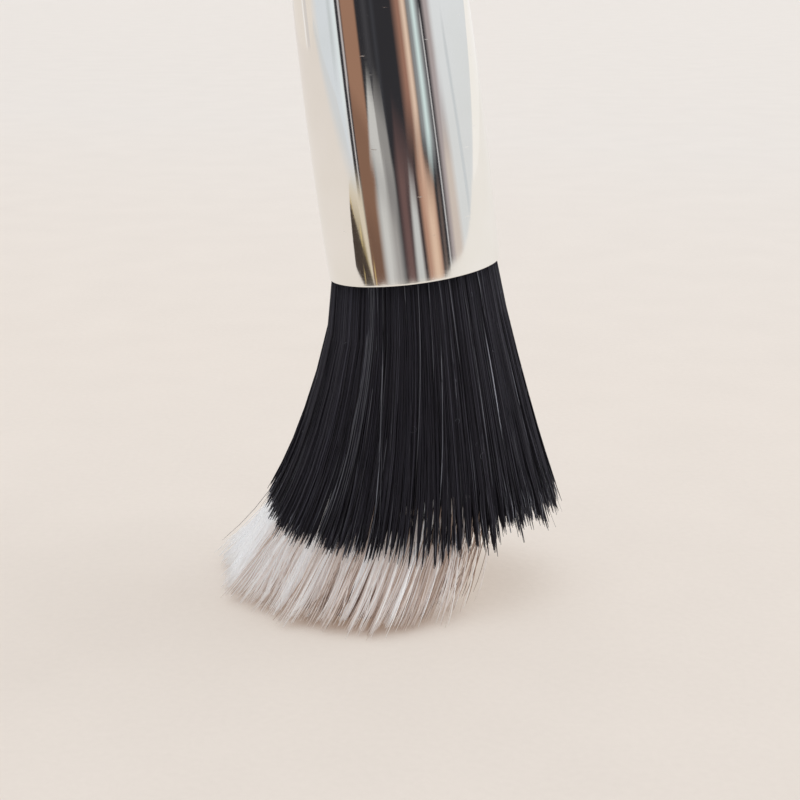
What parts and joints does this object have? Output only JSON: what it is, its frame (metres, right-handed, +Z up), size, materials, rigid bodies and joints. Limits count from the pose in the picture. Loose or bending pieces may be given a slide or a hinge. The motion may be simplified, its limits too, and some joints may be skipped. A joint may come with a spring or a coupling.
{
  "type": "stippling brush",
  "caption": "Make-up stippling brush standing on its pressed, swept head: black fibres with longer white tips, a mirror-finished metal ferrule and a black lacquered handle.",
  "frame": {"origin": "the point where the brush's own axis meets the surface that the fibre tips lie on", "axes": "+Z up from that surface, with the brush's top leaning towards -X and its fibre tips trailing towards -X; +Y away from the viewer of the picture"},
  "size_m": [0.0373, 0.0277, 0.168],
  "materials": {
    "lacquered_wood": "gloss",
    "polished_metal": "polished",
    "glue": "satin",
    "thread": "matte",
    "black_fibre": "satin",
    "white_fibre": "satin"
  },
  "bodies": {
    "root": {"handle": "lacquered_wood", "ferrule": "polished_metal", "glue_plug": "glue", "binding_thread": "thread", "black_fibres": "black_fibre", "white_fibres": "white_fibre", "pale_strands": "white_fibre"}
  },
  "joints": []
}
